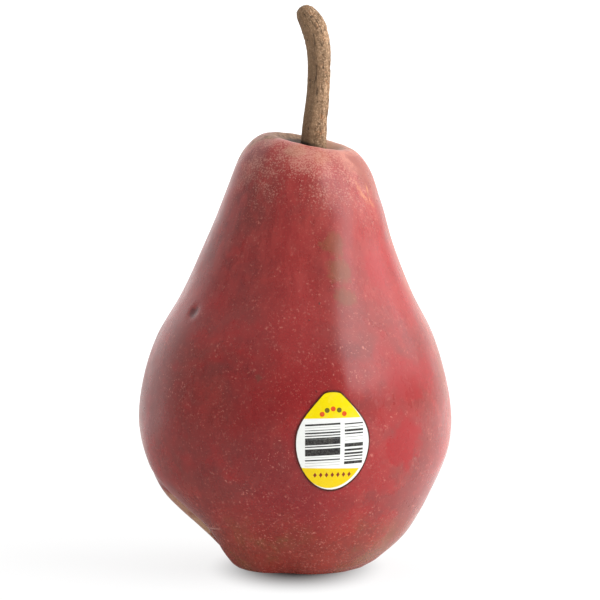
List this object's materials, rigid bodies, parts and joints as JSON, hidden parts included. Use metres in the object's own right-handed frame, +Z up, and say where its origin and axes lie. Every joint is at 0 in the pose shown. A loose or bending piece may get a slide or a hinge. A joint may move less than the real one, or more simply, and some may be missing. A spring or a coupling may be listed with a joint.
{
  "type": "pear",
  "caption": "Ripe red pear standing on its blossom end, with a woody stem, a dried calyx and an oval paper sticker on the belly.",
  "frame": {"origin": "on the surface the pear stands on, under the middle of its bounding box", "axes": "+Z up along the core towards the stem, -Y towards the viewer of the picture, +X to that viewer's right"},
  "size_m": [0.0719, 0.0722, 0.1307],
  "materials": {
    "skin": "thin waxy red skin, fine pale lenticels, tan russet around the stem",
    "bark": "dry ridged brown bark with dark pits",
    "dry_calyx": "dried brittle dark brown sepals and stamens",
    "sticker_paper": "smooth yellow and white printed label paper"
  },
  "bodies": {
    "root": {"fruit": "skin", "stem": "bark", "calyx": "dry_calyx", "sticker": "sticker_paper"}
  },
  "joints": []
}
